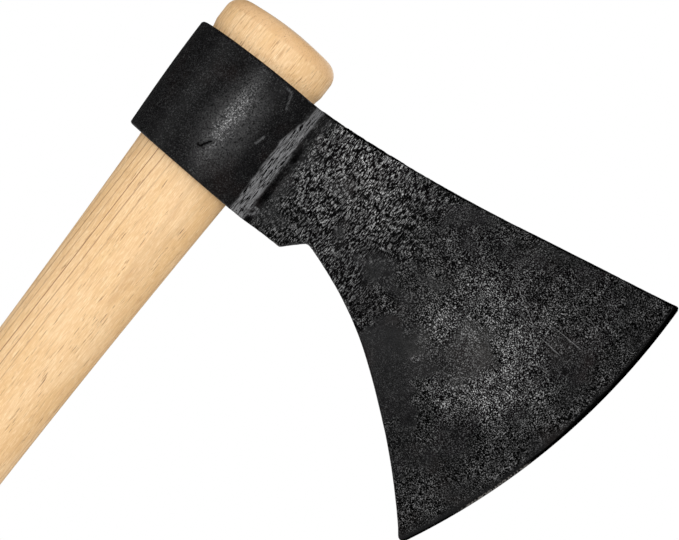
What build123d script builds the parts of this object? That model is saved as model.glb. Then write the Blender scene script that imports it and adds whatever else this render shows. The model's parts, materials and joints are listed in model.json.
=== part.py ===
"""A slip-fit hatchet: a forged fan-bladed head on a tapered oval hickory haft.

The haft goes down through the eye from above. It is thickest at the knob over the head
and thins all the way to the butt, so a blow drives the head tighter against the taper,
and the haft comes out again only upwards. Nothing else holds the two pieces together.

Frame: millimetres, +Z up along the haft with the origin at the centre of the butt's flat
face, +X towards the cutting edge, and the XZ plane through the middle of the blade.
Heights named "over the seat" start where the haft's axis meets the head's underside.
"""

from build123d import *
import math
import os

# ---- haft -------------------------------------------------------------------------------
haft_length = 508.0  # butt face to the crown of the knob
oval_ratio = 0.78  # side-to-side thickness of the haft over its fore-and-aft width
knob_overhang = 0.7  # how far the knob stands out over the eye's top, each side
knob_round = 6.5  # rounding between the knob's side and its crown
knob_crown = 1.4  # rise of the domed end over its rounded rim
knob_shoulder = 4.6  # height over the eye in which the haft swells to the knob's width
knob_over_eye = 17.5  # how far the crown stands above the head
grip_width = 34.4  # middle of the grip
butt_width = 33.4
butt_round = 2.6
butt_skim = 0.2  # sawn off the rounded butt, which leaves its flat face
flare_length = 82.0  # stretch under the head that thins quickly
flare_width = 36.9  # width at the end of that stretch
shank_slope = 0.035  # of the haft's sides where they enter the eye from below

# ---- eye, which the haft's tapered seat fits ------------------------------------------------
eye_height = 48.4
eye_bottom_width = 41.9
eye_taper = 5.9  # how much wider the eye is at its top
eye_clearance = 0.05  # all round, between the seat and the eye

# ---- head --------------------------------------------------------------------------------
poll_wall_top = 4.2  # wall at the back of the eye
poll_wall_bottom = 5.6
side_wall_top = 3.9  # wall at the cheeks of the eye
side_wall_bottom = 4.8
underside_tilt = 3.4  # degrees, the underside falls towards the blade
neck_angle = 31.2  # degrees round the eye from +X, where the neck's slanting facets start
facet_run = 8.9  # along X, from there to where the facets meet the blade's cheeks
neck_half = 7.0  # half thickness of the blade at that line
bevel_half = 1.1  # half thickness where the bit's bevel starts
bevel_angle = 25.0  # degrees, of each bevel to the middle plane
edge_flat = 0.4  # thickness left along the unsharpened edge

# Side outline of the blade. Points are (X, height over the seat).
toe_reach = 179.3  # X of the cutting edge's upper end
toe_rise = 24.2  # height of that end over the eye
edge_length = 138.0  # straight from toe to heel
edge_lean = 12.4  # degrees, the heel lies back from the toe
bit_bulge = 8.9  # cutting edge's rise over the straight line from toe to heel
top_line_run = 69.3  # the top's straight stretch, back from the toe
top_line_drop = 13.3
top_sag = 1.5  # how far the rest of the top hangs under its chord
sweep_run = 49.9  # the lower edge's first curve, back and up from the heel
sweep_rise = 46.1
sweep_hollow = 2.0  # how far that curve cuts into the blade
notch_gap = 14.7  # along the underside, from the facets' end to the notch's foot
notch_run = 7.6  # from the notch's foot to its crest, where the lower edge's curves end
notch_rise = 7.3
toe_round = 1.5
heel_round = 3.5
crest_round = 5.0

# ---- worked out ---------------------------------------------------------------------------
seat_z = haft_length - knob_over_eye - eye_height  # the head's underside, on the haft's axis
eye_top_width = eye_bottom_width + eye_taper
underside_slope = math.tan(math.radians(underside_tilt))
neck_start = (eye_bottom_width / 2 + poll_wall_bottom) * math.cos(math.radians(neck_angle))
neck_end = neck_start + facet_run
neck_low = -underside_slope * neck_start  # height of the neck's underside
lowest = 2 * neck_low  # under every point of the eye's wall
lean = math.radians(edge_lean)
toe = (toe_reach, eye_height + toe_rise)
heel = (toe[0] - edge_length * math.sin(lean), toe[1] - edge_length * math.cos(lean))
top_break = (toe[0] - top_line_run, toe[1] - top_line_drop)
sweep_end = (heel[0] - sweep_run, heel[1] + sweep_rise)
notch_foot = (neck_end + notch_gap, neck_low)
notch_crest = (notch_foot[0] + notch_run, neck_low + notch_rise)
reach = 2 * toe_reach  # longer than anything that it has to cut through


def line_at(z, z0, value0, z1, value1):
    """Value at height z on the straight line through two heights."""
    return value0 + (value1 - value0) * (z - z0) / (z1 - z0)


def eye_half(z):
    """Half width of the eye at a height over the seat."""
    return line_at(z, 0, eye_bottom_width, eye_height, eye_top_width) / 2


def wall_half(z):
    """(half width, half thickness) of the eye's outer wall at a height over the seat."""
    back = line_at(z, 0, poll_wall_bottom, eye_height, poll_wall_top)
    side = line_at(z, 0, side_wall_bottom, eye_height, side_wall_top)
    return eye_half(z) + back, eye_half(z) * oval_ratio + side


def bulged(start, end, rise):
    """Arc from start to end whose middle stands off the chord by rise, to the left of the way."""
    dx, dz = end[0] - start[0], end[1] - start[1]
    chord = math.hypot(dx, dz)
    middle = (
        (start[0] + end[0]) / 2 - rise * dz / chord,
        (start[1] + end[1]) / 2 + rise * dx / chord,
    )
    return ThreePointArc(start, middle, end)


# ---- haft --------------------------------------------------------------------------------
def make_haft():
    """Half of the haft's outline, turned about its axis, narrowed to an oval and sawn flat at
    the butt."""
    eye_top_z = seat_z + eye_height
    knob_r = eye_half(eye_height) + knob_overhang
    rim_z = haft_length - knob_crown
    butt_z = -butt_skim
    shank = Spline(
        (butt_width / 2, butt_z + butt_round),
        (grip_width / 2, seat_z / 2),
        (flare_width / 2, seat_z - flare_length),
        (eye_half(lowest) - eye_clearance, seat_z + lowest),
        tangents=[(0, 1), (shank_slope, 1)],
    )
    butt_corner = RadiusArc((butt_width / 2 - butt_round, butt_z), shank @ 0, -butt_round)
    seat = Line(shank @ 1, (eye_half(eye_height) - eye_clearance, eye_top_z))
    shoulder = Line(seat @ 1, (knob_r, eye_top_z + knob_shoulder))
    side = Line(shoulder @ 1, (knob_r, rim_z - knob_round))
    rim = RadiusArc(side @ 1, (knob_r - knob_round, rim_z), -knob_round)
    crown = TangentArc((0, haft_length), rim @ 1, tangent=(1, 0))
    axis = Line(crown @ 0, (0, butt_z))
    butt = Line((0, butt_z), butt_corner @ 0)
    outline = Curve() + [butt, butt_corner, shank, seat, shoulder, side, rim, crown, axis]
    half_section = Plane.XZ * make_face(outline)
    oval_haft = scale(revolve(half_section, Axis.Z), by=(1, oval_ratio, 1))
    over_butt = Pos(0, 0, haft_length) * Box(reach, reach, 2 * haft_length)
    return oval_haft & over_butt


# ---- head --------------------------------------------------------------------------------
def side_outline():
    """Face of the neck and blade seen from the side, in the XZ plane, heights over the seat."""
    neck_top = (neck_start, eye_height)
    top_curve = bulged(neck_top, top_break, -top_sag)
    top_line = Line(top_break, toe)
    bit = bulged(toe, heel, bit_bulge)
    sweep = bulged(heel, sweep_end, -sweep_hollow)
    throat = TangentArc(sweep_end, notch_crest, tangent=sweep % 1)
    notch = Line(notch_crest, notch_foot)
    underside = Polyline(notch_foot, (neck_start, neck_low), (0, 0))
    inside_eye = Polyline((0, 0), (0, eye_height), neck_top)
    edges = [top_curve, top_line, bit, sweep, throat, notch, underside, inside_eye]
    outline = make_face(Curve() + edges)
    for corner, radius in (
        (toe, toe_round),
        (heel, heel_round),
        (notch_crest, crest_round),
    ):
        point = outline.vertices().sort_by_distance((corner[0], corner[1], 0))[0]
        outline = fillet(point, radius)
    return outline


def side_plate():
    """The side outline as a plate thicker than the head."""
    return extrude(Plane.XZ * side_outline(), reach, both=True)


def wedge():
    """The two cheeks: a wedge that thins towards the chord of the cutting edge."""
    toe_point, heel_point = Vector(toe[0], 0, toe[1]), Vector(heel[0], 0, heel[1])
    along = (toe_point - heel_point).normalized()
    chord = Plane(origin=heel_point, x_dir=Vector(0, 1, 0).cross(along), z_dir=along)
    depth = (Vector(neck_end, 0, eye_height / 2) - heel_point).dot(chord.x_dir)
    slope = (neck_half - bevel_half) / -depth
    back = depth - neck_end
    front = 1.5 * bit_bulge  # past the cutting edge
    profile = Polyline(
        (back, bevel_half - slope * back),
        (front, bevel_half - slope * front),
        (front, slope * front - bevel_half),
        (back, slope * back - bevel_half),
        close=True,
    )
    return extrude(chord * make_face(profile), reach, both=True)


def neck_gusset():
    """The thick root of the neck. Its slanting facets start inside the eye's wall and end
    under the blade's cheeks, so they show only between the two."""
    half_thickness = wall_half(lowest)[1]
    root_half = half_thickness * math.sin(math.radians(neck_angle))
    facet_slope = (root_half - neck_half) / facet_run
    tip = neck_start + root_half / facet_slope
    profile = Polyline(
        (0, root_half),
        (neck_start, root_half),
        (tip, 0),
        (neck_start, -root_half),
        (0, -root_half),
        close=True,
    )
    return extrude(make_face(profile), reach, both=True)


def bit_bevels():
    """A double cone about the cutting arc's centre, which trims both cheeks to the edge."""
    chord = math.dist(toe, heel)
    radius = chord**2 / (8 * bit_bulge) + bit_bulge / 2
    across = (radius - bit_bulge) / chord
    centre_x = (toe[0] + heel[0]) / 2 - across * (toe[1] - heel[1])
    centre_z = (toe[1] + heel[1]) / 2 + across * (toe[0] - heel[0])
    run = 1 / math.tan(math.radians(bevel_angle))
    reach_y = wall_half(eye_height)[1] + neck_half
    half = edge_flat / 2
    section = Polyline(
        (0, -reach_y),
        (radius - (reach_y - half) * run, -reach_y),
        (radius, -half),
        (radius, half),
        (radius - (reach_y - half) * run, reach_y),
        (0, reach_y),
        close=True,
    )
    cone = revolve(make_face(section), Axis.Y)
    return Pos(centre_x, 0, centre_z) * cone


def eye_wall():
    """The oval wall round the eye, with its underside cut to the tilt."""
    ovals = [Pos(0, 0, z) * Ellipse(*wall_half(z)) for z in (lowest, eye_height)]
    wall = loft(ovals, ruled=True)
    under = Plane(origin=(0, 0, 0), z_dir=(underside_slope, 0, 1))
    return wall & (under * Pos(0, 0, reach / 2) * Box(reach, reach, reach))


def eye_cut():
    """The tapered oval hole, run past both faces of the head on the same taper."""
    heights = (-eye_height, 2 * eye_height)
    ovals = [
        Pos(0, 0, z) * Ellipse(eye_half(z), eye_half(z) * oval_ratio) for z in heights
    ]
    return loft(ovals, ruled=True)


def make_head():
    blade = side_plate() & (wedge() + neck_gusset()) & bit_bevels()
    forging = blade + eye_wall() - eye_cut()
    return Pos(0, 0, seat_z) * forging


os.makedirs("parts", exist_ok=True)
pieces = {"head": make_head(), "haft": make_haft()}
for name, piece in pieces.items():
    export_step(piece, f"parts/{name}.step")
    print(name, len(piece.solids()), "solid", round(piece.volume / 1000, 1), "cm3")
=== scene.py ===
# %% [markdown]
# # A slip-fit hatchet in Blender
#
# A hatchet has few pieces, so each of them has to carry its own looks. This one has two: a
# forged steel head, painted black over its hammer scale, and a pale hickory haft that drops
# through the head's eye from above and jams there by its own taper.
#
# Both pieces are built here as surfaces worked out with numpy. A surface is a function of two
# parameters, and a whole grid of points comes out of one array expression. That suits forged
# and turned things, whose shapes are sweeps of a simple section.
#
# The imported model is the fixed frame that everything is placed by. The frame is loaded first.

# %% Load the frame
import json
import math

import bmesh
import bpy
import numpy as np
from mathutils import Matrix, Vector


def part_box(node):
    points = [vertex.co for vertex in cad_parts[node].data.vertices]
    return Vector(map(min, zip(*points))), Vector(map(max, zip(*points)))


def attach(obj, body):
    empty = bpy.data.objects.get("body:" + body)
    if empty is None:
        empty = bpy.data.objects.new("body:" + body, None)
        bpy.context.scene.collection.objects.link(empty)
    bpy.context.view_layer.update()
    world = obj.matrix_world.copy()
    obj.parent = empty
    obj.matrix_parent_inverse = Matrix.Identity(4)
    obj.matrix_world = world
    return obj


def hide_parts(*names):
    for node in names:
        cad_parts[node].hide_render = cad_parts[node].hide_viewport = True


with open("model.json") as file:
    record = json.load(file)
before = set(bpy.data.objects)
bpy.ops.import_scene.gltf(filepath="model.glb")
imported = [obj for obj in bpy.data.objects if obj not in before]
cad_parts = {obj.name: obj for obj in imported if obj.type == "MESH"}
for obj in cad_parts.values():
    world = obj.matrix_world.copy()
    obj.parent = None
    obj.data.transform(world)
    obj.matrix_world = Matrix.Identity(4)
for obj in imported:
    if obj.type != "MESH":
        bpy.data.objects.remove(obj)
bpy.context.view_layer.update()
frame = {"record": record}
mounts = {mount["name"]: mount for mount in frame["record"]["mounts"]}
seat = mounts["head_underside"]["pos_m"][2]
print(f"head sits {seat * 1000:.1f} mm over the butt")

# %% [markdown]
# ## The camera
#
# The tool is seen lying across the view, with its haft running down to the left. Rather than
# tilt the tool, which has to stay in the frame's upright pose, the camera is rolled about its
# own line of sight. A long lens from well back keeps the flat blade nearly undistorted.

# %% Camera
camera_roll = math.radians(37.6)
camera_place = Vector((0.0694, -0.670, seat + 0.0056))
camera_right = Vector((math.cos(camera_roll), 0, math.sin(camera_roll)))
camera_up = Vector((-math.sin(camera_roll), 0, math.cos(camera_roll)))
camera_axes = Matrix((camera_right, camera_up, camera_right.cross(camera_up))).transposed()

camera = bpy.data.objects.new("camera", bpy.data.cameras.new("camera"))
camera.matrix_world = Matrix.Translation(camera_place) @ camera_axes.to_4x4()
camera.data.lens = 94.7
camera.data.clip_start = 0.01
bpy.context.scene.collection.objects.link(camera)
bpy.context.scene.camera = camera
print(f"camera {-camera_place.y * 1000:.0f} mm in front of the blade")

# %% [markdown]
# ## Light and sky
#
# Black paint shows almost nothing but what it reflects, and pale wood shows how evenly it is
# lit, so the two need different skies. The sky is white where the camera looks straight at it,
# a strong even fill for matt surfaces such as the wood, and nearly black for reflections,
# because a white sky would turn the black steel grey. Five soft lights stand round the front:
# four shape the wood and catch the slopes of the steel's grains, and the small one beside the
# camera puts a soft band on the round socket. A sixth lights the far side.


# %% Lights
def softbox(name, place, target, size, watts):
    """A square area light at place, turned to face target."""
    lamp = bpy.data.lights.new(name, "AREA")
    lamp.size, lamp.energy = size, watts
    holder = bpy.data.objects.new(name, lamp)
    holder.location = place
    holder.rotation_euler = (Vector(target) - Vector(place)).to_track_quat("-Z", "Y").to_euler()
    bpy.context.scene.collection.objects.link(holder)


head_centre = (0.07, 0.0, seat + 0.01)
softbox("high", (0.12, -0.80, seat + 0.85), head_centre, 0.45, 1.0)
softbox("low", (0.05, -0.55, seat - 0.34), head_centre, 0.3, 0.40)
softbox("left", (-0.85, -0.70, seat + 0.05), head_centre, 0.5, 2.45)
softbox("right", (0.75, -0.90, seat + 0.25), head_centre, 0.3, 2.5)
softbox("front", (0.093, -0.60, seat + 0.040), (0.004, 0.0, seat + 0.024), 0.12, 1.0)
softbox("back", (0.3, 1.1, seat + 0.6), head_centre, 0.8, 4.0)

# %% Sky
world = bpy.data.worlds.new("studio")
bpy.context.scene.world = world
world.use_nodes = True
sky = world.node_tree
sky.nodes.clear()


def white_sky(strength):
    """A plain white background of that strength."""
    plain = sky.nodes.new("ShaderNodeBackground")
    plain.inputs["Color"].default_value = (1, 1, 1, 1)
    plain.inputs["Strength"].default_value = strength
    return plain.outputs[0]


ray = sky.nodes.new("ShaderNodeLightPath")
shown = white_sky(0.05)
for kind, strength in (("Is Diffuse Ray", 0.80), ("Is Camera Ray", 1.0)):
    chosen = sky.nodes.new("ShaderNodeMixShader")
    sky.links.new(ray.outputs[kind], chosen.inputs["Fac"])
    sky.links.new(shown, chosen.inputs[1])
    sky.links.new(white_sky(strength), chosen.inputs[2])
    shown = chosen.outputs[0]
sky.links.new(shown, sky.nodes.new("ShaderNodeOutputWorld").inputs["Surface"])
bpy.context.scene.view_settings.view_transform = "Standard"
print("sky made of", len(sky.nodes), "nodes")


# %% [markdown]
# ## Tools for surfaces
#
# Everything below is made with these: soft steps and blends of numbers or whole arrays, a
# smooth random field for hammered unevenness, and a mesh maker that takes one array of points
# and one of quads.


# %% Steps and blends
def step(value, start, end):
    """0 before start, 1 after end, and the curve 3t^2 - 2t^3 between."""
    t = np.clip((value - start) / (end - start), 0, 1)
    return t * t * (3 - 2 * t)


def mix(a, b, share):
    """a at share 0, b at share 1, a straight line between."""
    return a + (b - a) * share


def larger(a, b, blend):
    """The larger of two values, rounded over where they cross: half their sum plus half the
    root of their difference squared plus blend squared."""
    return (a + b + np.sqrt((a - b) ** 2 + blend**2)) / 2


def smaller(a, b, blend):
    """The smaller of two values, rounded over in the same way."""
    return -larger(-a, -b, blend)


# %% Random field
def field(points, size, seed):
    """Smooth random values between -1 and 1. A cubic lattice with cells of that size has a
    random number at each knot, and a point takes a blend of the eight knots round it."""
    table_side = 64
    table = np.random.default_rng(seed).uniform(-1, 1, (table_side,) * 3)
    scaled = points / size
    cell = np.floor(scaled).astype(int)
    part = step(scaled - cell, 0, 1)
    total = np.zeros(points.shape[:-1])
    for corner in np.ndindex(2, 2, 2):
        knot = (cell + corner) % table_side
        weight = np.prod(np.where(corner, part, 1 - part), axis=-1)
        total += weight * table[knot[..., 0], knot[..., 1], knot[..., 2]]
    return total


# %% Mesh from arrays
def mesh_object(name, points_mm, quads):
    """A mesh from points in millimetres over the seat and rows of four point numbers. Equal
    points are merged, unused ones dropped and all faces turned outwards."""
    mesh = bpy.data.meshes.new(name)
    mesh.vertices.add(len(points_mm))
    metres = points_mm / 1000 + (0, 0, seat)
    mesh.vertices.foreach_set("co", metres.astype(np.float32).ravel())
    mesh.loops.add(quads.size)
    mesh.loops.foreach_set("vertex_index", quads.astype(np.int32).ravel())
    mesh.polygons.add(len(quads))
    mesh.polygons.foreach_set("loop_start", np.arange(0, quads.size, 4, dtype=np.int32))
    mesh.update(calc_edges=True)
    work = bmesh.new()
    work.from_mesh(mesh)
    bmesh.ops.remove_doubles(work, verts=work.verts, dist=1e-7)
    bmesh.ops.delete(work, geom=[v for v in work.verts if not v.link_faces], context="VERTS")
    bmesh.ops.recalc_face_normals(work, faces=work.faces)
    open_edges = sum(not edge.is_manifold for edge in work.edges)
    work.to_mesh(mesh)
    work.free()
    mesh.polygons.foreach_set("use_smooth", np.ones(len(mesh.polygons), bool))
    piece = bpy.data.objects.new(name, mesh)
    bpy.context.scene.collection.objects.link(piece)
    print(name, len(mesh.polygons), "faces,", open_edges, "open edges")
    return piece


def wrap_quads(numbers):
    """Quads between the rows of an array of point numbers, whose columns close on themselves."""
    after = np.roll(numbers, -1, axis=1)
    return np.stack((numbers[:-1], after[:-1], after[1:], numbers[1:]), -1).reshape(-1, 4)


# %% [markdown]
# ## The head's sizes
#
# A forged head starts as a bar. The smith punches and drifts the eye, which leaves a ring of
# nearly even wall, then draws the other end out into a wide thin fan. Between the two is a
# neck, where the round ring meets the flat cheeks in one slanting facet on each side.
#
# All lengths are millimetres. Heights count up from the underside of the eye, where the
# haft's axis passes through it.

# %% Sizes of the ring
head_low, head_high = (np.array(corner) * 1000 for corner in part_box("head"))
eye_height = 48.4
oval = 0.78  # side-to-side width of the eye over its fore-and-aft width
eye_half_low, eye_half_high = 20.95, 23.9
wall_half_low = (26.55, 21.1)  # fore-and-aft and side-to-side, outside the wall
wall_half_high = (-head_low[0], head_high[1])
wall_swell = 0.45  # how far the wall swells at the middle of its height
tilt = math.tan(math.radians(3.4))  # the underside falls towards the blade
rim_round, underside_round, eye_round = 1.3, 0.9, 0.7

# %% Sizes of the blade
neck_start = 23.6  # where the facet leaves the ring
neck_end = 31.6  # where it meets the cheek
neck_half = 7.0  # half thickness of the steel there
bevel_half = 1.1  # and where the bit's bevel starts
bevel_slope = math.tan(math.radians(25))
edge_half = 0.2  # half of the flat that is left along the edge
lean = math.radians(12.4)  # the cutting edge leans back towards the heel
forward = np.array((math.cos(lean), -math.sin(lean)))  # square to the edge, out of the blade
edge_length = 138.0
bit_bulge = 8.9
toe = np.array((179.3, head_high[2] - seat * 1000))
heel = toe - edge_length * np.array((math.sin(lean), math.cos(lean)))
top_break = toe - (69.3, 13.3)
top_sag = 1.5
sweep_end = heel + (-49.9, 46.1)
sweep_hollow = 2.0
crest = np.array((53.9, 6.0))
notch_foot = np.array((46.3, -tilt * neck_start))
toe_round, heel_round = 1.5, 3.5
print("heel at", heel.round(1), "toe at", toe.round(1))

# %% [markdown]
# ## A rounded section
#
# Paint and scale leave no sharp edge on a forging. The ring's wall and the blade are both
# rounded rectangles in section, so one function serves them: it walks along one side of such
# a rectangle and gives, for each point, the distance along the side and how far the point is
# drawn in. Two neighbouring sides share their corner's 45 degree point.


# %% One side of a rounded rectangle
def rounded_side(length, start_radius, end_radius, count, corner=4):
    """Distances along and insets of count + 1 points. The first and last few points turn
    through half a quarter circle, where along is the radius times 1 - sin and the inset is
    the radius times 1 - cos. The others share the straight stretch evenly."""
    number = np.arange(count + 1)[:, None]
    start_angle = np.pi / 4 * (1 - np.clip(number / corner, 0, 1))
    end_angle = np.pi / 4 * (1 - np.clip((count - number) / corner, 0, 1))
    share = np.clip((number - corner) / (count - 2 * corner), 0, 1)
    straight = start_radius + share * (length - start_radius - end_radius)
    along = straight - start_radius * np.sin(start_angle) + end_radius * np.sin(end_angle)
    inset = start_radius * (1 - np.cos(start_angle)) + end_radius * (1 - np.cos(end_angle))
    return along, inset


# %% [markdown]
# ## The ring round the eye
#
# The ring is a closed tube: one parameter turns round the haft's axis and the other walks
# round the wall's section, up the outside, in over the rim, down the eye and out underneath.
# Towards the blade a window is left open in the outside wall. The blade grows out of that
# window, so that the whole head is one closed skin.

# %% Columns and rows of the ring
wall_rows, rim_rows, eye_rows = 104, 12, 22
back_columns, window_columns = 250, 14
window_angle = math.acos(neck_start / mix(wall_half_low[0], wall_half_high[0], 0.5))
window_round = 0.12  # of the window's corners, as a share of its half width
across, across_inset = rounded_side(2.0, window_round, window_round, window_columns)
across, across_inset = across[:, 0] - 1, across_inset[:, 0]
window_turn = np.arcsin(across * math.sin(window_angle))
back_turn = np.linspace(window_angle, 2 * np.pi - window_angle, back_columns + 1)
turn = np.concatenate((window_turn, back_turn[1:-1]))
corner_share = np.ones(len(turn))
corner_share[: window_columns + 1] = across_inset / across_inset[0]
print(len(turn), "columns round the ring")


# %% Ring surface
def ring_surface():
    """Points of the ring by row and column. A point lies a share of the way from the outer
    oval to the eye's oval at its height, and the underside's tilt is spread evenly up the
    wall. Inside the window the outer corners flatten out, because the blade goes on there."""
    wall = 4.6  # a mean thickness, by which the way across the rim is shared out
    low, high = underside_round * corner_share, rim_round * corner_share
    outer, outer_in = rounded_side(eye_height, low, high, wall_rows)
    top, top_in = rounded_side(wall, high, eye_round, rim_rows)
    inner, inner_in = rounded_side(eye_height, eye_round, eye_round + 0 * turn, eye_rows)
    under, under_in = rounded_side(wall, eye_round, low, rim_rows)
    depth = (outer_in[:-1], top[:-1], wall - inner_in[:-1], wall - under[:-1])
    rise = (outer[:-1], eye_height - top_in[:-1], eye_height - inner[:-1], under_in[:-1])
    share = np.concatenate(depth) / wall
    height = np.concatenate(rise)
    level = height / eye_height
    swell = wall_swell * np.sin(np.pi * level)
    eye_half = mix(eye_half_low, eye_half_high, level)
    half_x = mix(mix(wall_half_low[0], wall_half_high[0], level) + swell, eye_half, share)
    half_y = mix(wall_half_low[1], wall_half_high[1], level) + swell
    half_y = mix(half_y, eye_half * oval, share)
    x, y = half_x * np.cos(turn), half_y * np.sin(turn)
    return np.stack((x, y, height - tilt * x * (1 - level)), -1)


ring = ring_surface()
print("ring grid", ring.shape[:2], "spans", np.ptp(ring.reshape(-1, 3), axis=0).round(1))

# %% [markdown]
# ## The blade's outline
#
# Seen from the side, the blade lies between two lines that start at the ring: the top runs
# in a shallow hollow and then straight to the toe, and the bottom has a small notch behind
# the beard and then sweeps down to the heel. Each is laid out as arcs and straight lines, cut
# into short steps, and can be read off at any share of its length.


# %% Arcs and paths
def arc(start, end, rise):
    """Points from start to end on an arc whose middle stands off the chord by rise, to the
    left of the way. Half the arc's turn is twice the arctangent of 2 rise / chord."""
    start, end = np.array(start), np.array(end)
    way = end - start
    chord = math.hypot(*way)
    half_turn = 2 * math.atan(2 * rise / chord)
    radius = chord / (2 * math.sin(half_turn))
    angle = np.linspace(-half_turn, half_turn, 400)[:, None]
    left = np.array((-way[1], way[0])) / chord
    along = radius * np.sin(angle) / chord + 0.5
    off = radius * (np.cos(angle) - math.cos(half_turn))
    return start + along * way + off * left


def tangent_rise(start, direction, end):
    """Rise of the arc from start to end that sets out in a given direction: half the chord
    times the tangent of half the angle between chord and direction."""
    way = np.array(end) - start
    angle = math.atan2(direction[1], direction[0]) - math.atan2(way[1], way[0])
    return math.hypot(*way) / 2 * math.tan(angle / 2)


def even_path(*stretches, spacing=0.2):
    """Stretches of points joined into one path and laid out again at even steps."""
    points = np.concatenate(stretches)
    length = np.concatenate(((0,), np.cumsum(np.hypot(*np.diff(points, axis=0).T))))
    steps = np.linspace(0, length[-1], round(length[-1] / spacing))
    path = np.stack([np.interp(steps, length, line) for line in points.T], -1)
    return path, length[-1]


# %% Top and bottom of the blade
def softened(path, centre, reach, window=25):
    """The path with the corner at centre rounded over: within reach of it, each point is
    blended with the average of the points round it."""
    kernel = np.hanning(window) / np.hanning(window).sum()
    padded = np.pad(path, ((window // 2, window // 2), (0, 0)), mode="edge")
    average = np.stack([np.convolve(line, kernel, "valid") for line in padded.T], -1)
    near = 1 - step(np.hypot(*(path - centre).T), reach * 0.4, reach)
    return mix(path, average, near[:, None])


neck_top = np.array((neck_start, eye_height))
neck_bottom = np.array((neck_start, -tilt * neck_start))
top_path, top_length = even_path(arc(neck_top, top_break, -top_sag), [toe])
sweep = arc(heel, sweep_end, -sweep_hollow)
throat = arc(sweep_end, crest, tangent_rise(sweep_end, sweep[-1] - sweep[-2], crest))
low_path, low_length = even_path([neck_bottom, notch_foot], throat[::-1], sweep[::-1])
low_path = softened(low_path, crest, 7.0)
print(f"top {top_length:.0f} mm, bottom {low_length:.0f} mm long")

# %% [markdown]
# ## The blade's thickness
#
# In section the blade is a long wedge. Three slopes meet on each cheek: the facet down from
# the ring, the cheek itself, which thins evenly towards the chord of the cutting edge, and
# the short bevel of the bit. The crease between facet and cheek is crisp at the bottom, where
# the hammer finished, and fades towards the top.


# %% Half thickness
def cheek_half(x, z):
    """Half thickness of the wedge: it falls evenly with the distance to the edge's chord."""
    def depth(px, pz):
        return (heel[0] - px) * math.cos(lean) + (pz - heel[1]) * math.sin(lean)

    slope = (neck_half - bevel_half) / depth(neck_end, eye_height / 2)
    return bevel_half + slope * depth(x, z)


def facet_half(x, z):
    """Half thickness of the slanting facet: a straight line from the ring to the cheek."""
    root = mix(wall_half_low[1], wall_half_high[1], z / eye_height) * math.sin(window_angle)
    return root - (x - neck_start) * (root - neck_half) / (neck_end - neck_start)


def blade_half(x, z, to_edge):
    """Facet and cheek, whichever is thicker, cut down by the bevel near the edge."""
    crease = mix(0.5, 3.0, step(z, 15, 45))
    body = larger(cheek_half(x, z), facet_half(x, z), crease)
    bevel = bevel_slope * to_edge + edge_half * (1 - np.exp(-to_edge / 0.1))
    return np.maximum(smaller(body, bevel, 0.2), 0)


# %% [markdown]
# ## The blade as a tube
#
# Stations run from the ring's window to the cutting edge. At each one a loop goes round the
# section: up the near cheek, across the top, down the far cheek and back underneath. The last
# loop closes to a line, which is the edge. Near the toe and the heel the grid's square corner
# is eased into a round one by the mapping that turns a square into a disc.

# %% Stations
fine_start = 4.0  # the last millimetres have closer stations, for the bevel
edge_gaps = np.array((3.5, 3, 2.6, 2.3, 2.0, 1.7, 1.4, 1.1, 0.8, 0.55, 0.35, 0.2, 0.1, 0.04, 0))
main_stations = np.linspace(0, 1 - fine_start / top_length, 206)[1:]
station = np.concatenate((main_stations, 1 - edge_gaps / top_length))
bulge_growth = 2  # the stations' bulge grows with this power of the way to the edge


def on_path(path, share):
    """The point of an even path at each share of its length."""
    where = np.clip(share, 0, 1) * (len(path) - 1)
    return np.stack([np.interp(where, np.arange(len(path)), line) for line in path.T], -1)


def side_view(share, height):
    """Place in the side view: a straight line from bottom to top at that share of the way,
    plus a parabola that bulges towards the edge and reaches bit_bulge there."""
    low, high = on_path(low_path, share), on_path(top_path, share)
    bulge = bit_bulge * share**bulge_growth * 4 * height * (1 - height)
    return mix(low, high, height[..., None]) + bulge[..., None] * forward


# %% Corner easing
def eased_corner(from_edge, from_side, radius):
    """Square corner to round corner: with u and v counted in from where the rounding starts,
    u becomes u times the root of 1 - v^2/2, and v likewise."""
    u = np.clip(1 - from_edge / radius, 0, 1)
    v = np.clip(1 - from_side / radius, 0, 1)
    shift_u = radius * u * (1 - np.sqrt(1 - v**2 / 2))
    shift_v = radius * v * (1 - np.sqrt(1 - u**2 / 2))
    return from_edge + shift_u, from_side + shift_v


def eased(share, height, span):
    """Grid parameters with the heel's and the toe's corners rounded."""
    length = mix(low_length, top_length, height)
    for radius, is_top in ((heel_round, False), (toe_round, True)):
        side = (1 - height if is_top else height) * span
        edge, side = eased_corner((1 - share) * length, side, radius)
        share = 1 - edge / length
        height = 1 - side / span if is_top else side / span
    return share, height


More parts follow.
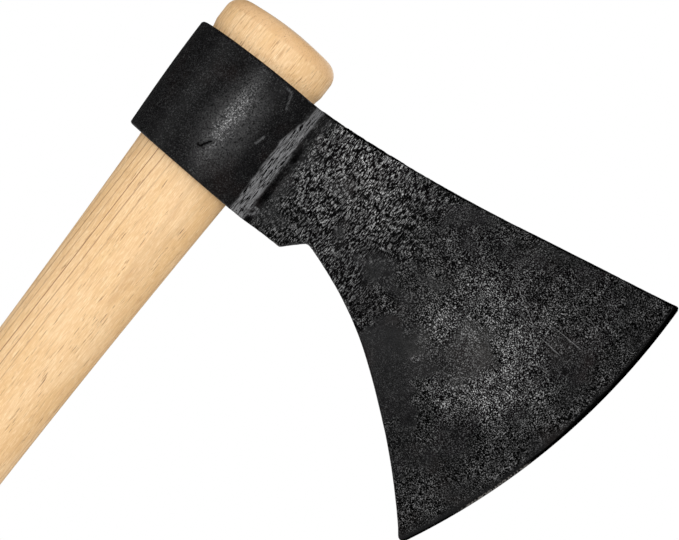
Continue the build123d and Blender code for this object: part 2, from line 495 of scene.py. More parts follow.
# %% Blade surface
def blade_surface():
    """Points by station and place round the loop. The loop's height share and its place
    across the thickness come from four rounded sides, one after the other."""
    low, high = on_path(low_path, station), on_path(top_path, station)
    span = np.hypot(*(high - low).T)
    to_edge = (1 - station) * top_length
    half_low, half_high = (blade_half(*end.T, to_edge) for end in (low, high))
    notch = np.exp(-(((low[:, 0] - crest[0] + 2) / 6) ** 2))
    round_low = np.minimum(underside_round + 1.6 * notch, 0.75 * half_low)
    round_high = np.minimum(rim_round, 0.75 * half_high)
    cheek, cheek_in = rounded_side(span, round_low, round_high, wall_rows)
    over, over_in = rounded_side(2 * half_high, round_high, round_high, window_columns)
    under, under_in = rounded_side(2 * half_low, round_low, round_low, window_columns)
    tiny = 1e-9
    lower_half = np.arange(wall_rows + 1)[:, None] < wall_rows / 2
    cheek_across = 1 - cheek_in / (np.where(lower_half, half_low, half_high) + tiny)
    over_across = np.where(half_high > tiny, over / (half_high + tiny) - 1, 0)
    under_across = np.where(half_low > tiny, under / (half_low + tiny) - 1, 0)
    height = (cheek[:-1], span - over_in[:-1], cheek[:0:-1], under_in[:0:-1])
    across_y = (-cheek_across[:-1], over_across[:-1], cheek_across[:0:-1], under_across[:0:-1])
    height, across_y = np.concatenate(height).T / span[:, None], np.concatenate(across_y).T
    share = np.broadcast_to(station[:, None], height.shape)
    share, height = eased(share, height, span[:, None])
    place = side_view(share, height)
    stretch = bulge_growth * bit_bulge * 4 * height * (1 - height)
    gap = (1 - station)[:, None] * (mix(low_length, top_length, height) + stretch)
    y = across_y * blade_half(place[..., 0], place[..., 1], gap)
    return np.stack((place[..., 0], y, place[..., 1]), -1)


blade = blade_surface()
print("blade grid", blade.shape[:2], "reaches x", blade[..., 0].max().round(1))

# %% [markdown]
# ## Joining ring and blade
#
# The loop round the window of the ring has as many points as a station of the blade, in the
# same order. The first stations are pulled towards the window's own points, and the pull
# fades out over a centimetre or so, which leaves a smooth root.

# %% Join
rows, columns = ring.shape[:2]
numbers = np.arange(rows * columns).reshape(rows, columns)
window = np.concatenate((
    numbers[:wall_rows, 0],
    numbers[wall_rows, :window_columns],
    numbers[wall_rows:0:-1, window_columns],
    numbers[0, window_columns:0:-1],
))
mouth = ring.reshape(-1, 3)[window]
fade_length = 14.0
fade = 1 - step(station * top_length, 0, fade_length)[:, None, None]
first_step = blade[1] - blade[0]
blade = blade + (mouth - (blade[0] - first_step)) * fade

blade_numbers = rows * columns + np.arange(blade.shape[0] * blade.shape[1])
blade_numbers = blade_numbers.reshape(blade.shape[:2])
ring_quads = wrap_quads(np.vstack((numbers, numbers[:1]))).reshape(rows, columns, 4)
keep = np.ones((rows, columns), bool)
keep[:wall_rows, :window_columns] = False
blade_quads = wrap_quads(np.vstack((window, blade_numbers)))
head_points = np.vstack((ring.reshape(-1, 3), blade.reshape(-1, 3)))
head = mesh_object("forged_head", head_points, np.vstack((ring_quads[keep], blade_quads)))


# %% [markdown]
# ## What the hammer and the fire left
#
# The skin of a forging is never even. It rolls in broad shallow hammer marks, it is pitted
# where scale was beaten in, and it has bald patches where the scale came off in one flake.
# Each of these is a field over the head's surface: a number for every vertex, mostly between
# 0 and 1. Some of them move the mesh. The rest are painted on it as attributes, by which the
# material knows where it is pitted, worn, bright or dark, and where a painted sheen, painted
# highlights and painted shade go.
#
# Everything is cut into the surface and nothing added, so the head keeps its size.
#
# The marks that make this head the one it is are listed first, with three ovals that are no
# marks: where a sheen is painted on the blade and highlights on the neck and the socket. They
# are places in the side view: an X and a height over the seat. An oval has its middle and its
# reach both ways.

# %% Marks of this forging
bare_flake = (100, -18, 24, 22)
small_flakes = ((169, 59, 8, 10), (166, 41, 6, 7), (141, -31, 5, 7))
# ovals of a painted sheen on the blade, a painted highlight on the neck and one on the socket
sheen_oval = (130, 14, 36, 32)
neck_highlight_oval, socket_highlight_oval = (46, 38, 42, 34), (5, 24, 13, 25)
scrape_line = ((17.0, 23.5), (18.0, 27.5))
check_line = ((0.4, 10.9), (1.6, 10.3), (3.9, 14.2))
rim_line = ((13.5, 46.4), (16.2, 46.2), (18.2, 40.4))
drop_line, drop_radius = ((30.2, 2.6), (31.0, 4.0)), 1.0
scratches = (
    ((123.6, 42.6), (142.5, 31.6)),
    ((145, 37.6), (161, 37)),
    ((144, 31.5), (155, 30.5)),
)
# the streaked part of the facet is also where its highlight is painted
streaks_from, streaks_to = 23.2, 29.2  # X of the part of the facet that has hammer streaks
print(len(small_flakes) + 1, "flakes and", len(scratches), "scratches")


# %% Read the mesh back
def vertex_array(mesh, source, name):
    """A vector that a mesh holds for each vertex, as an array."""
    values = np.empty(len(mesh.vertices) * 3, np.float32)
    getattr(mesh, source).foreach_get(name, values)
    return values.reshape(-1, 3).astype(float)


def points_mm(piece):
    """A piece's points in millimetres over the seat."""
    return (vertex_array(piece.data, "vertices", "co") - (0, 0, seat)) * 1000


def move_points(piece, places):
    """Gives a piece new points, in millimetres over the seat."""
    metres = places / 1000 + (0, 0, seat)
    piece.data.vertices.foreach_set("co", metres.astype(np.float32).ravel())
    piece.data.update()


def paint(piece, name, values):
    """Stores one number for each vertex as an attribute that a material can read."""
    layer = piece.data.attributes.new(name, "FLOAT", "POINT")
    layer.data.foreach_set("value", values.astype(np.float32))


# %% Where each vertex is
places = points_mm(head)
x, y, z = places.T
eye_half_here = mix(eye_half_low, eye_half_high, z / eye_height)
eye_distance = np.hypot(x / eye_half_here, y / (eye_half_here * oval))
outside = step(eye_distance, 1.02, 1.1)  # 0 on the wall of the eye, 1 on the outside
arc_radius = edge_length**2 / (8 * bit_bulge) + bit_bulge / 2
arc_middle = (toe + heel) / 2 - (arc_radius - bit_bulge) * forward
from_edge = arc_radius - np.hypot(x - arc_middle[0], z - arc_middle[1])
on_neck = step(x, 24, 34) * (1 - step(x, 70, 100))
on_blade = step(x, 30, 36)


# %% Shapes in the side view
def from_oval(centre_x, centre_z, reach_x, reach_z):
    """Distance from the middle of an oval, which is 1 on the oval itself."""
    return np.hypot((x - centre_x) / reach_x, (z - centre_z) / reach_z)


def blob(centre_x, centre_z, reach_x, reach_z, ragged=0.3):
    """1 inside an oval patch, 0 outside, with a wavering border."""
    waver = field(places, 11.0, 3) + 0.5 * field(places, 4.0, 4) + 0.3 * field(places, 1.6, 8)
    distance = from_oval(centre_x, centre_z, reach_x, reach_z)
    return 1 - step(distance + ragged * waver, 0.88, 1.02)


def near_line(points):
    """Distance to a line through some points, on the near side of the head only: the least
    distance to its stretches, each measured from the nearest place along it."""
    far_off = 99.0  # beyond the border of any mark
    found = np.full(len(x), far_off)
    for (x0, z0), (x1, z1) in zip(points[:-1], points[1:]):
        way_x, way_z = x1 - x0, z1 - z0
        along = ((x - x0) * way_x + (z - z0) * way_z) / (way_x**2 + way_z**2)
        along = np.clip(along, 0, 1)
        found = np.minimum(found, np.hypot(x - mix(x0, x1, along), z - mix(z0, z1, along)))
    return np.where(y < 0, found, far_off)


def stroke(points, core, border):
    """1 within core of a line through some points, 0 beyond border."""
    return 1 - step(near_line(points), core, border)


# %% Scale, flakes and facets
flaked = field(places, 13.0, 21) + 0.5 * field(places, 4.5, 22) + 0.3 * field(places, 1.7, 23)
flaked = step(flaked, 0.5, 0.66)
small_patches = sum(blob(*flake, ragged=0.5) for flake in small_flakes)
bald = np.maximum.reduce((blob(*bare_flake), 0.5 * small_patches, 0.5 * flaked))
patchy = step(field(places, 16.0, 5) + 0.5 * field(places, 6.0, 6), -0.6, 0.3)
pitting = on_blade * (1 - 0.78 * bald) * mix(0.4, 1.0, patchy) * step(from_edge, 1.0, 4)
pitting = np.maximum(pitting, 0.22 * (1 - on_blade)) * outside
facet_left = streaks_from + 3.0 * step(z, 30, 46) + 0.4 * field(places, 3.0, 31)
facet_right = streaks_to + 0.4 * field(places, 3.0, 32)
on_facet = step(x - facet_left, 0, 0.8) * (1 - step(x - facet_right, -0.4, 0.4)) * outside
on_facet = np.maximum(on_facet, 0.45 * stroke(scrape_line, 0.1, 0.6))
# painted shade in the crease between the facet and the cheek
crease_shade = step(x, 29.4, 30.4) * (1 - step(x + 2 * field(places, 5.0, 33), 30.5, 35)) * outside
crease_shade = crease_shade * (0.50 + 0.22 * field(places, 3.5, 35))
# a painted sheen over the middle of the blade
painted_sheen = 1 - step(from_oval(*sheen_oval) + 0.3 * field(places, 11.0, 7), 0.1, 1.1)
print(f"bald share {np.mean(bald > 0.5):.2f}, pitted share {np.mean(pitting > 0.5):.2f}")

# %% Move the skin
roll_depth, dimple_depth, crack_depth, pock_depth, streak_depth = 0.14, 0.06, 0.18, 0.08, 0.10
long_grain = places * (1, 1, 0.5)
hammer = roll_depth * (1 + field(places, 22.0, 11)) + dimple_depth * (1 + field(places, 9.0, 12))
cracks = 1 - 2.2 * np.abs(field(long_grain, 1.6, 13) + 0.4 * field(long_grain, 0.8, 14))
grain_depth = crack_depth * np.clip(cracks, 0, 1) * on_neck
grain_depth = grain_depth + pock_depth * step(field(places, 1.6, 15), -0.2, 0.9)
streaked = streak_depth * (1 + field(places * (1, 1, 0.08), 0.8, 16)) * on_facet
check_mark = 0.6 * stroke(check_line, 0.05, 0.5)
drop_ring = np.abs(near_line(drop_line) - drop_radius)
teardrop = 0.25 * (1 - step(drop_ring, 0.1, 0.6))
rim_mark = 0.3 * stroke(rim_line, 0.1, 0.7)
depth = hammer * mix(0.5, 1.0, on_blade) + pitting * grain_depth + 0.03 * bald + streaked
depth = (depth + check_mark + teardrop + rim_mark) * outside * step(from_edge, 0.3, 6.0)
normals = vertex_array(head.data, "vertex_normals", "vector")
move_points(head, places - normals * depth[:, None])
print(f"skin cut by up to {depth.max():.2f} mm")

# %% Layers for the material
from_top = np.interp(x, *top_path.T) - z + 0.5 * field(places, 6.0, 34)
on_cheek = mix(0.3, 1.0, step(np.abs(normals[:, 1]), 0.1, 0.5))  # less on the narrow top
# painted shade along the top edge of the blade
rim = (1 - step(from_top, 0.3, 1.4)) * on_blade * on_cheek
# the dark of the bevel reaches this far from the edge, farther towards the toe
dusk = mix(1.6, 3.6, step(z, -25, 45)) * (1 + 0.3 * field(places, 8.0, 37))
bevel = 0.72 * (1 - step(from_edge, 0.25 * dusk, dusk)) * on_blade
# a painted highlight over the neck
neck_highlight = step(from_oval(*neck_highlight_oval) + 0.2 * field(places, 9.0, 38), 0.2, 1.1)
neck_highlight = on_neck * (1 - neck_highlight)
shade = 0.28 * (1 - on_blade) * (1 - on_facet)
# a painted highlight on the socket
socket_highlight = from_oval(*socket_highlight_oval) + 0.12 * field(places, 9.0, 36)
socket_highlight = (1 - step(socket_highlight, 0.1, 1.05)) * (1 - on_blade) * (1 - step(check_mark, 0.1, 0.3))
wear = (1 - step(from_edge, 0.35, 1.2)) * on_blade * step(-z, 5, 14) * (1 - step(-z, 28, 42))
# painted highlight on the facet's slope, weaker towards the top
streak_highlight = on_facet * mix(1.0, 0.72, step(z, 30, 44))  # duller towards the top
# the facet's painted highlight, with the teardrop and the mark on the rim
highlight_and_marks = np.maximum.reduce((streak_highlight, 3.6 * teardrop, 1.6 * rim_mark))
# painted shade in the crease, along the top and over the socket; the bevel, the bald patches and
# the check mark are darkened as well
blackest = (crease_shade, rim, bevel * (1 - wear), shade, 0.27 * bald, 1.4 * check_mark)
dark = np.maximum.reduce(blackest) * (1 - 3.6 * teardrop)
layers = {
    "pitting": pitting, "neck": on_neck, "neck_highlight": neck_highlight, "facet": highlight_and_marks,
    "painted_sheen": painted_sheen, "wear": wear, "dark": dark, "socket_highlight": socket_highlight,
}
for name, values in layers.items():
    paint(head, name, values)
print("painted", ", ".join(layers))

# %% [markdown]
# ## Building materials from nodes
#
# A material is a small graph. One helper adds a node and fills its inputs, in order or by
# name, with numbers or with other nodes' outputs, and the others are short names for the few
# kinds of node that come up again and again. Patterns are laid out in millimetres, read from
# the object's own coordinates.


# %% Node helpers
def node(tree, kind, *values, settings=None, **named):
    """Adds a shader node. A value that is a socket is linked, None is passed over and any
    other is set."""
    made = tree.nodes.new("ShaderNode" + kind)
    for name, value in (settings or {}).items():
        setattr(made, name, value)
    pairs = [(made.inputs[number], value) for number, value in enumerate(values)]
    pairs += [(made.inputs[name.replace("_", " ")], value) for name, value in named.items()]
    for socket, value in pairs:
        if isinstance(value, bpy.types.NodeSocket):
            tree.links.new(value, socket)
        elif value is not None:
            socket.default_value = value
    return made


def calc(tree, operation, *values, clamp=False):
    """The result of one Math node."""
    settings = {"operation": operation, "use_clamp": clamp}
    return node(tree, "Math", *values, settings=settings).outputs[0]


def product(tree, first, *others):
    """Several numbers multiplied."""
    for other in others:
        first = calc(tree, "MULTIPLY", first, other)
    return first


def largest(tree, first, *others):
    """The largest of several numbers."""
    for other in others:
        first = calc(tree, "MAXIMUM", first, other)
    return first


def new_material(name):
    """A material with a cleared graph, its tree and its object coordinates in millimetres."""
    material = bpy.data.materials.new(name)
    material.use_nodes = True
    tree = material.node_tree
    tree.nodes.clear()
    place = node(tree, "TexCoord").outputs["Object"]
    scaled = node(tree, "Mapping", place, Scale=(1000, 1000, 1000)).outputs[0]
    return material, tree, scaled


def noise(tree, place, size, detail=2.0, roughness=0.5, stretch=(1, 1, 1)):
    """Noise with features of about that size in millimetres, stretched by three factors."""
    scale = [1 / (size * factor) for factor in stretch]
    moved = node(tree, "Mapping", place, Scale=scale).outputs[0]
    made = node(tree, "TexNoise", moved, Scale=1.0, Detail=detail, Roughness=roughness)
    return made.outputs["Fac"]


def ramp(tree, value, low, high, to_low=0.0, to_high=1.0):
    """Maps a value's range low to high onto to_low to to_high with a soft step."""
    settings = {"interpolation_type": "SMOOTHSTEP"}
    return node(tree, "MapRange", value, low, high, to_low, to_high, settings=settings).outputs[0]


def attribute(tree, name):
    """A number that was painted on the mesh."""
    return node(tree, "Attribute", settings={"attribute_name": name}).outputs["Fac"]


def colours(tree, share, first, second):
    """A blend of two colours, each a link or three numbers."""
    ends = [(*end, 1) if isinstance(end, tuple) else end for end in (first, second)]
    unused = [None] * 5  # the inputs for blending numbers and vectors
    settings = {"data_type": "RGBA"}
    return node(tree, "Mix", share, *unused, *ends, settings=settings).outputs[2]


def bump(tree, relief):
    """Normals tilted by a relief in millimetres."""
    return node(tree, "Bump", Strength=1.0, Distance=0.001, Height=relief).outputs[0]


def cover(piece, material, tree, **inputs):
    """Ends a material's graph with a shader of those inputs and puts it on a piece."""
    shader = node(tree, "BsdfPrincipled", **inputs)
    node(tree, "OutputMaterial", shader.outputs[0])
    piece.data.materials.append(material)
    print(material.name, "has", len(tree.nodes), "nodes")


# %% [markdown]
# ## Black paint over scale
#
# The paint is thin and follows every grain of the scale under it. What the eye reads as a
# pitted surface is contrast at a small scale: crests under a millimetre wide that catch a
# light, beside pits that give back nothing. The grain is a noise pushed to high contrast, so
# that it has flat crests and flat pits with steep sides between.
#
# Two steps carry the look. The crests are painted pale, by an amount that other noises vary,
# which stands for glints that a real grain shows at one angle only. And the pits are painted
# shade, made black metal: metal gives back only a reflection tinted by its own colour, so black
# metal is darker than any paint. Painted shade in the crease beside the facet and along the rim
# at the top is darkened in the same way, and so is the bevel along the edge.
#
# The neck has grains drawn out along the haft, and the blade has rounder ones. The slanting
# facets carry fine streaks under a painted highlight. The socket is smooth but for a faint orange
# peel, with a painted highlight on it as a patch of sparkle. A painted highlight brightens the
# neck, a painted sheen the middle of the blade, and a few straight scratches cross the blade.

# %% A scratch
def scratch(tree, place, start, end, width):
    """1 along a straight line between two points of the side view, 0 beside it. The pattern
    is turned so that the line lies along X, and then two soft steps cut it out."""
    along, rise = end[0] - start[0], end[1] - start[1]
    turn = math.atan2(rise, along)
    middle = Vector(((start[0] + end[0]) / 2, 0, (start[1] + end[1]) / 2 + seat * 1000))
    moved = node(tree, "Mapping", place, Location=-middle).outputs[0]
    turned = node(tree, "Mapping", moved, Rotation=(0, turn, 0)).outputs[0]
    parts = node(tree, "SeparateXYZ", turned)
    off, far = (calc(tree, "ABSOLUTE", parts.outputs[k]) for k in (2, 0))
    half_length = math.hypot(along, rise) / 2
    across = ramp(tree, off, width, 0.3 * width)
    return product(tree, across, ramp(tree, far, half_length, 0.6 * half_length))


# %% Grain of the steel
steel, tree, mm = new_material("black_painted_steel")
pitted, neck_part, neck_highlight_part, facet_part, sheen_part, worn_part, dark_part, socket_highlight_part = (
    attribute(tree, name) for name in layers
)
long_noise = noise(tree, mm, 0.52, 2.0, 0.6, (0.8, 0.8, 3.0))
round_noise = noise(tree, mm, 0.46, 2.0, 0.6)
grain = node(tree, "Mix", neck_part, None, round_noise, long_noise).outputs[0]
clusters = calc(tree, "SUBTRACT", noise(tree, mm, 2.6, 3.0, 0.6), 0.5)
grain = calc(tree, "MULTIPLY_ADD", clusters, 0.22, grain)
crest = ramp(tree, grain, 0.475, 0.55)  # 1 on top of a grain, 0 in a pit
lines = noise(tree, mm, 0.36, 3.0, 0.65, (1, 1, 9))
peel = noise(tree, mm, 0.5, 2.0, 0.6)
peel = product(tree, peel, ramp(tree, pitted, 0.05, 0.25, 0.008, 0.07))
relief = product(tree, crest, calc(tree, "MULTIPLY_ADD", pitted, 0.24, 0.004))
relief = calc(tree, "ADD", peel, relief)
relief = calc(tree, "MULTIPLY_ADD", product(tree, facet_part, lines), 0.22, relief)
print("relief made,", len(tree.nodes), "nodes")

# %% Shares of pale and dark
glint = ramp(tree, noise(tree, mm, 0.5, 2.0), 0.42, 0.66, 0.10, 1.0)
drift = ramp(tree, noise(tree, mm, 6.0, 3.0, 0.65), 0.34, 0.64, 0.5, 1.0)
proud = product(tree, pitted, crest, product(tree, glint, drift))
# more pale crests under the painted highlight on the neck and the painted sheen on the blade
proud_share = calc(tree, "MULTIPLY_ADD", neck_highlight_part, 0.44, 0.30)
proud_share = calc(tree, "MULTIPLY_ADD", sheen_part, 0.60, proud_share)
# painted shade: the pits, the splits of the facet and whatever is painted dark
low_ground = product(tree, pitted, calc(tree, "SUBTRACT", 1.0, crest))
splits = noise(tree, mm, 0.8, 3.0, 0.7, (1, 1, 6))
facet_low = largest(tree, ramp(tree, lines, 0.43, 0.34), ramp(tree, splits, 0.45, 0.39))
facet_low = product(tree, facet_part, product(tree, facet_low, 0.95))
shadow = ramp(tree, largest(tree, facet_low, low_ground, dark_part), 0.12, 0.7, 0.0, 0.97)
worn = product(tree, worn_part, ramp(tree, noise(tree, mm, 0.7, 2.0), 0.42, 0.6))
# the painted highlight on the socket, broken into sparkles
highlight_sparkle = ramp(tree, noise(tree, mm, 0.6, 3.0, 0.7), 0.36, 0.66)
highlight_sparkle = product(tree, socket_highlight_part, highlight_sparkle)
print("masks made,", len(tree.nodes), "nodes")

# %% Steel
# of these colours the pit black is painted shade, the socket grey and the streak grey are painted
# highlights, and the rubbed grey is a painted sheen
soot, brown_soot = (0.0045, 0.0045, 0.0048), (0.011, 0.0065, 0.0055)
pit_shade_black = (0.0005, 0.0005, 0.0005)
sheen_grey, bare_edge = (0.030, 0.029, 0.028), (0.30, 0.28, 0.26)
socket_highlight_grey, fleck_grey, streak_highlight_grey = (0.085,) * 3, (0.10,) * 3, (0.17, 0.17, 0.174)
scratch_grey, crest_grey = (0.22,) * 3, (0.62,) * 3
rust = ramp(tree, noise(tree, mm, 26.0, 3.0, 0.6), 0.52, 0.75, 0.0, 0.5)
skin = colours(tree, rust, soot, brown_soot)
# painted sheen: the middle of the blade paler
skin = colours(tree, product(tree, sheen_part, 0.5), skin, sheen_grey)
# painted highlight on the facet, along its streaks
facet_highlight = product(tree, facet_part, ramp(tree, lines, 0.34, 0.60))
skin = colours(tree, facet_highlight, skin, streak_highlight_grey)
flecks = ramp(tree, noise(tree, mm, 0.45, 1.0), 0.70, 0.78, 0.0, 0.5)
skin = colours(tree, flecks, skin, fleck_grey)
skin = colours(tree, product(tree, proud, proud_share), skin, crest_grey)
# painted shade: pits, splits, crease and rim go black
skin = colours(tree, shadow, skin, pit_shade_black)
for start, end in scratches:
    mark = product(tree, scratch(tree, mm, start, end, 0.22), 0.5)
    skin = colours(tree, mark, skin, scratch_grey)
skin = colours(tree, worn, skin, bare_edge)
# painted highlight on the socket, in sparkles
skin = colours(tree, highlight_sparkle, skin, socket_highlight_grey)
metal = largest(tree, worn, shadow, highlight_sparkle)
rough = calc(tree, "MULTIPLY_ADD", noise(tree, mm, 7.0, 3.0), 0.14, 0.17)
cover(
    head, steel, tree,
    Base_Color=skin, Metallic=metal, Roughness=rough, Normal=bump(tree, relief),
    Specular_IOR_Level=0.07,
)

# %% [markdown]
# ## The haft
#
# The haft is turned and then narrowed to an oval, so its surface is a profile carried round
# the axis: one parameter runs from the middle of the butt to the middle of the crown, the
# other turns. Below the head the profile is a smooth spline through a few widths. Inside the
# eye it is straight, and over the head it swells into the knob that carries the blows.


# %% Profile
def clamped_spline(knots, values, start_slope, end_slope):
    """A cubic spline through the values with given end slopes. Its slopes at the knots solve
    one linear equation a knot: the curvature is the same on both sides of each."""
    gaps, rises = np.diff(knots), np.diff(values) / np.diff(knots)
    matrix, right = np.eye(len(knots)), np.full(len(knots), float(start_slope))
    right[-1] = end_slope
    for k in range(1, len(knots) - 1):
        before, after = gaps[k - 1], gaps[k]
        matrix[k, k - 1 : k + 2] = after, 2 * (before + after), before
        right[k] = 3 * (after * rises[k - 1] + before * rises[k])
    slopes = np.linalg.solve(matrix, right)

    def curve(at):
        k = np.clip(np.searchsorted(knots, at) - 1, 0, len(gaps) - 1)
        t = (at - knots[k]) / gaps[k]
        ends = values[k] * (1 + 2 * t) * (1 - t) ** 2 + values[k + 1] * t**2 * (3 - 2 * t)
        return ends + gaps[k] * t * (1 - t) * (slopes[k] * (1 - t) - slopes[k + 1] * t)

    return curve


haft_high = np.array(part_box("haft")[1]) * 1000
butt = -seat * 1000
crown_top = haft_high[2] + butt
knob_half = haft_high[0]
eye_gap = 0.05
butt_round, butt_skim, knob_round, knob_crown, knob_shoulder = 2.6, 0.2, 6.5, 1.4, 4.6
butt_half, grip_half, flare_half = 16.7, 17.2, 18.45
flare_low = -82.0  # under this the grip is nearly even, above it the haft swells to the eye
seat_low = -2.7  # the straight seat starts a little under the head
entry_slope = 0.035  # of the haft's side where it reaches the seat
seat_slope = (eye_half_high - eye_half_low) / eye_height
seat_half = eye_half_low - eye_gap + seat_slope * seat_low
shank_heights = np.array((butt + butt_round - butt_skim, butt / 2, flare_low, seat_low))
shank_halves = np.array((butt_half, grip_half, flare_half, seat_half))
shank = clamped_spline(shank_heights, shank_halves, 0, entry_slope)
print(f"knob {2 * knob_half:.1f} mm wide, crown {crown_top - eye_height:.1f} mm over the head")


def haft_profile():
    """Half width and height of points from the middle of the butt to the middle of the
    crown: flat, quarter circle, spline, seat, shoulder, side, quarter circle and crown."""
    skim_angle = math.asin(1 - butt_skim / butt_round)
    low_turn = np.linspace(-skim_angle, 0, 7)
    low_half = butt_half - butt_round * (1 - np.cos(low_turn))
    low_z = butt + butt_round * (1 + np.sin(low_turn)) - butt_skim
    shank_z = np.linspace(low_z[-1], seat_low, 280)
    seat_z = np.linspace(seat_low, eye_height, 40)
    shoulder_z = np.linspace(eye_height, eye_height + knob_shoulder, 12)
    swelling = step(shoulder_z, shoulder_z[0], shoulder_z[-1])
    side_top = crown_top - knob_crown - knob_round
    side_z = np.linspace(shoulder_z[-1], side_top, 10)
    high_turn = np.linspace(0, np.pi / 2, 18)
    rim_half = knob_half - knob_round
    flat = np.linspace(0, low_half[0], 16)
    crown = np.linspace(rim_half, 0, 30)
    pieces = [
        (flat, np.full(len(flat), butt)),
        (low_half, low_z),
        (shank(shank_z), shank_z),
        (eye_half_low - eye_gap + seat_slope * seat_z, seat_z),
        (mix(eye_half_high - eye_gap, knob_half, swelling), shoulder_z),
        (np.full(len(side_z), knob_half), side_z),
        (rim_half + knob_round * np.cos(high_turn), side_top + knob_round * np.sin(high_turn)),
        (crown, crown_top - knob_crown * (crown / rim_half) ** 2),
    ]
    joined = np.concatenate([np.stack(piece, -1) for piece in pieces])
    apart = np.hypot(*np.diff(joined, axis=0).T) > 1e-3
    return joined[np.concatenate(((True,), apart))]


# %% Haft surface
profile = haft_profile()
round_columns = 150
around = np.arange(round_columns) * 2 * np.pi / round_columns
half, level = profile.T[:, :, None]
haft_x, haft_y = half * np.cos(around), half * oval * np.sin(around)
haft_grid = np.stack((haft_x, haft_y, level + 0 * around), -1)
haft_numbers = np.arange(haft_grid[..., 0].size).reshape(haft_grid.shape[:2])
haft = mesh_object("hickory_haft", haft_grid.reshape(-1, 3), wrap_quads(haft_numbers))

# %% [markdown]
# ## Hickory
#
# Wood is a solid pattern. The tree's growth rings are nested cylinders, slightly wavy, and the
# haft is a stick cut out of them a little askew. Where its surface runs square to the rings
# they show as fine parallel lines, and where it runs along them they open into long tongues.
# Nothing has to be drawn for that: the rings are worked out from the distance to the tree's
# heart, and the surface shows the cut. The lines are dark on the side farthest from the heart
# and faint elsewhere. Pores lie along the start of each ring as short dark dashes.
#
# The knob is different: the ring lines are faint there, fine streaks show in patches, and
# the crown is a shade darker above the line where its rounding starts.

# %% Growth rings
knob_z = seat * 1000 + eye_height  # where the haft leaves the eye
wood, tree, mm = new_material("hickory")
heart_place, heart_tilt = (0.7, 61.6, 0.0), (math.radians(1.5), math.radians(-4.5), 0.0)
from_heart = node(tree, "Mapping", mm, Location=heart_place, Rotation=heart_tilt).outputs[0]
waver = noise(tree, mm, 30.0, 2.0, 0.5, (1, 1, 5))
parts = node(tree, "SeparateXYZ", from_heart)
squares = [calc(tree, "POWER", parts.outputs[k], 2.0) for k in (0, 1)]
radius = calc(tree, "SQRT", calc(tree, "ADD", *squares))
radius = calc(tree, "MULTIPLY_ADD", waver, 5.0, radius)
ring_width = 3.3
rings = calc(tree, "DIVIDE", radius, ring_width)
growth = calc(tree, "FRACT", rings)  # 0 at the start of a year's growth, 1 at its end
one_number = {"noise_dimensions": "1D"}
year = node(tree, "TexWhiteNoise", W=calc(tree, "FLOOR", rings), settings=one_number)
# each year's line is faint or strong by its own lot
year_share = calc(tree, "MULTIPLY_ADD", year.outputs["Value"], 0.45, 0.55)
line_start, line_end = ramp(tree, growth, 0.83, 0.91), ramp(tree, growth, 0.95, 1.0)
line = calc(tree, "SUBTRACT", line_start, line_end, clamp=True)
height_mm = node(tree, "SeparateXYZ", mm).outputs[2]
on_knob = ramp(tree, height_mm, knob_z, knob_z + 3)
knob_share = calc(tree, "MULTIPLY_ADD", on_knob, -0.7, 1.0)
line = product(tree, line, ramp(tree, radius, 50.0, 57.0, 0.15, 1.0), year_share, knob_share)
print("rings", ring_width, "mm wide")

# %% Pores and fibres
pore_noise = noise(tree, mm, 0.36, 2.0, 0.6, (1, 1, 20))
pore_share = calc(tree, "MULTIPLY_ADD", ramp(tree, growth, 0.45, 0.0), 0.7, 0.3)
pores = product(tree, ramp(tree, pore_noise, 0.60, 0.68), pore_share)
fibre = noise(tree, mm, 0.40, 3.0, 0.7, (1, 1, 22))
speck = noise(tree, mm, 0.4, 2.0, 0.7, (1, 1, 8))
tone = noise(tree, mm, 12.0, 3.0, 0.55, (1, 1, 4))
knob_streaks = ramp(tree, noise(tree, mm, 0.42, 1.0, 0.5, (1, 1, 30)), 0.56, 0.66, 0.0, 0.8)
in_patches = ramp(tree, noise(tree, mm, 9.0, 1.0), 0.46, 0.56)
knob_streaks = product(tree, knob_streaks, in_patches, on_knob)
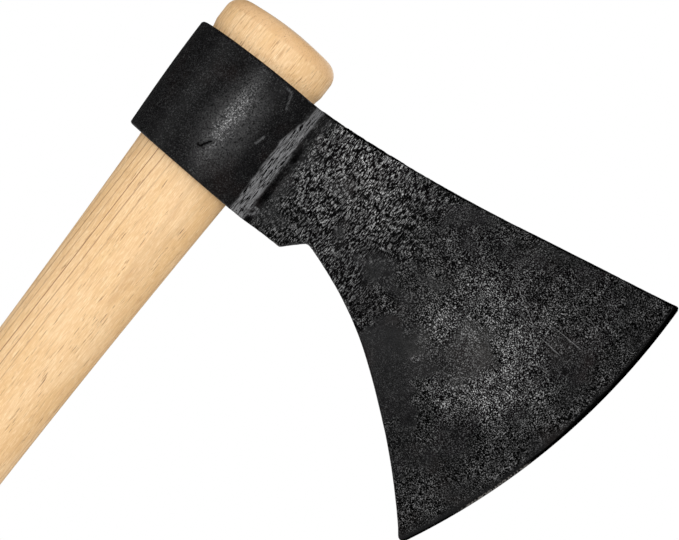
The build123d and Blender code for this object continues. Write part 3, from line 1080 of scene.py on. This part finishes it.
# the crown is a shade darker above where its rounding starts
crown_dark_from, crown_dark_full = knob_z + 10.2, knob_z + 11.2
darker_crown = ramp(tree, height_mm, crown_dark_from, crown_dark_full, 0.0, 0.55)
darker_crown = product(tree, darker_crown, ramp(tree, speck, 0.35, 0.6, 0.4, 1.0))
relief = calc(tree, "SUBTRACT", product(tree, fibre, 0.05), product(tree, pores, 0.06))
relief = calc(tree, "MULTIPLY_ADD", line, -0.05, relief)
print("wood patterns,", len(tree.nodes), "nodes")

# %% Wood
tan, cream = (0.64, 0.41, 0.188), (0.705, 0.488, 0.265)
fibre_brown, speck_cream = (0.58, 0.34, 0.155), (0.92, 0.72, 0.46)
line_brown, streak_brown = (0.24, 0.115, 0.045), (0.42, 0.23, 0.09)
crown_brown, pore_brown = (0.56, 0.33, 0.155), (0.20, 0.10, 0.04)
timber = colours(tree, ramp(tree, tone, 0.36, 0.64), tan, cream)
timber = colours(tree, ramp(tree, fibre, 0.38, 0.62, 0.0, 0.62), timber, fibre_brown)
timber = colours(tree, ramp(tree, speck, 0.48, 0.66, 0.0, 0.28), timber, speck_cream)
timber = colours(tree, line, timber, line_brown)
timber = colours(tree, knob_streaks, timber, streak_brown)
timber = colours(tree, darker_crown, timber, crown_brown)
timber = colours(tree, product(tree, pores, 0.95), timber, pore_brown)
rough = ramp(tree, tone, 0.3, 0.7, 0.44, 0.58)
cover(haft, wood, tree, Base_Color=timber, Roughness=rough, Normal=bump(tree, relief))

# %% [markdown]
# ## The floor
#
# The tool stands on its butt on a plain pale floor. It ends behind the tool, before it would
# come into the camera's view.

# %% Floor
floor_half, floor_back = 1.4, 0.9
corners = [
    (-floor_half, -2 * floor_half, 0), (floor_half, -2 * floor_half, 0),
    (floor_half, floor_back, 0), (-floor_half, floor_back, 0),
]
floor_mesh = bpy.data.meshes.new("floor")
floor_mesh.from_pydata(corners, [], [(0, 1, 2, 3)])
floor = bpy.data.objects.new("floor", floor_mesh)
bpy.context.scene.collection.objects.link(floor)
chalk, tree, mm = new_material("pale_floor")
mottle = colours(tree, noise(tree, mm, 60.0, 4.0), (0.80,) * 3, (0.86,) * 3)
cover(floor, chalk, tree, Base_Color=mottle, Roughness=0.7)

# %% [markdown]
# ## Hand the pieces over
#
# Each piece rides on its body of the imported model and stands for the plain solid of the
# same part, which is hidden.

# %% Finish
for piece, body, slot in ((head, "head", "black_steel"), (haft, "haft", "hickory")):
    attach(piece, body)
    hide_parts(body)
